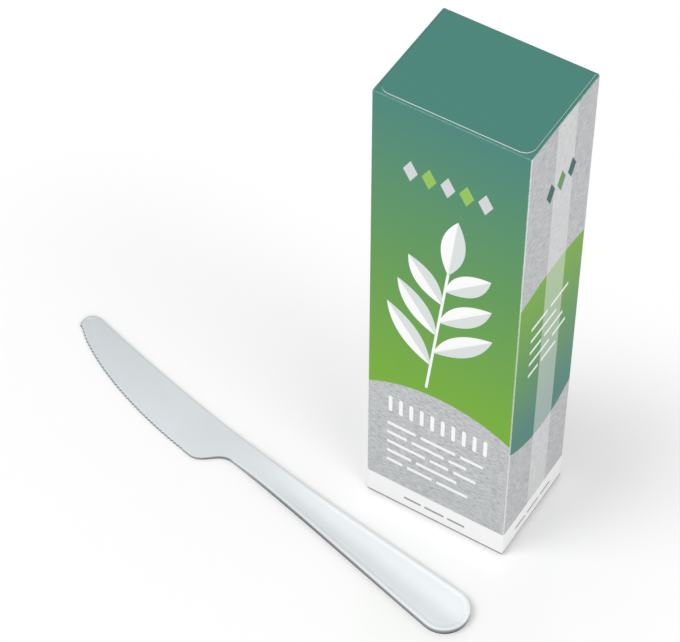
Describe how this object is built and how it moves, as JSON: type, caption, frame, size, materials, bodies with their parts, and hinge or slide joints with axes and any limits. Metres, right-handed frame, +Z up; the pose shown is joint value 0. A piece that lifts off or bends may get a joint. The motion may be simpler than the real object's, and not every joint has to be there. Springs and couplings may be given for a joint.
{
  "type": "plastic cutlery pack",
  "caption": "Tall sealed carton of plastic table knives with a plain printed front and side, and one moulded serrated knife lying flat before it.",
  "frame": {"origin": "middle of the carton's base, on the surface that the pack and the knife rest on", "axes": "+Z up the carton, -Y out of its front panel, +X out of its printed side panel"},
  "size_m": [0.1934, 0.0838, 0.205],
  "materials": {
    "printed_board": "satin coated board, printed green and grey",
    "moulded_plastic": "fine matt, pale blue-grey"
  },
  "bodies": {
    "root": {"carton": "printed_board", "knife": "moulded_plastic"}
  },
  "joints": []
}
